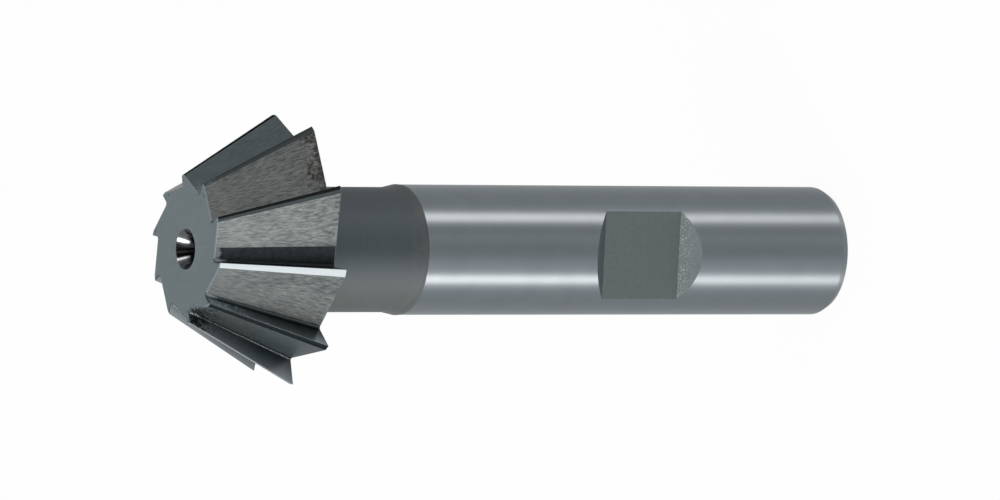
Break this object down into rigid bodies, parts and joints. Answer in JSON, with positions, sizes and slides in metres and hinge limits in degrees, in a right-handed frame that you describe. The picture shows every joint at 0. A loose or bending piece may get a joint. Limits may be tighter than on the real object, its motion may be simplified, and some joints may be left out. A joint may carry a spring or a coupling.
{
  "type": "angle milling cutter",
  "caption": "Right-hand angle milling cutter: conical head with straight ground teeth, narrow at the front, on a necked cylindrical shank with a clamping flat.",
  "frame": {"origin": "centre of the shank end, on the plane that the tool stands on", "axes": "+Z along the tool axis to the toothed head, -Y out of the clamping flat on the shank"},
  "size_m": [0.0242, 0.025, 0.067],
  "materials": {
    "tool_steel": "ground"
  },
  "bodies": {
    "root": {"angle_cutter": "tool_steel"}
  },
  "joints": []
}
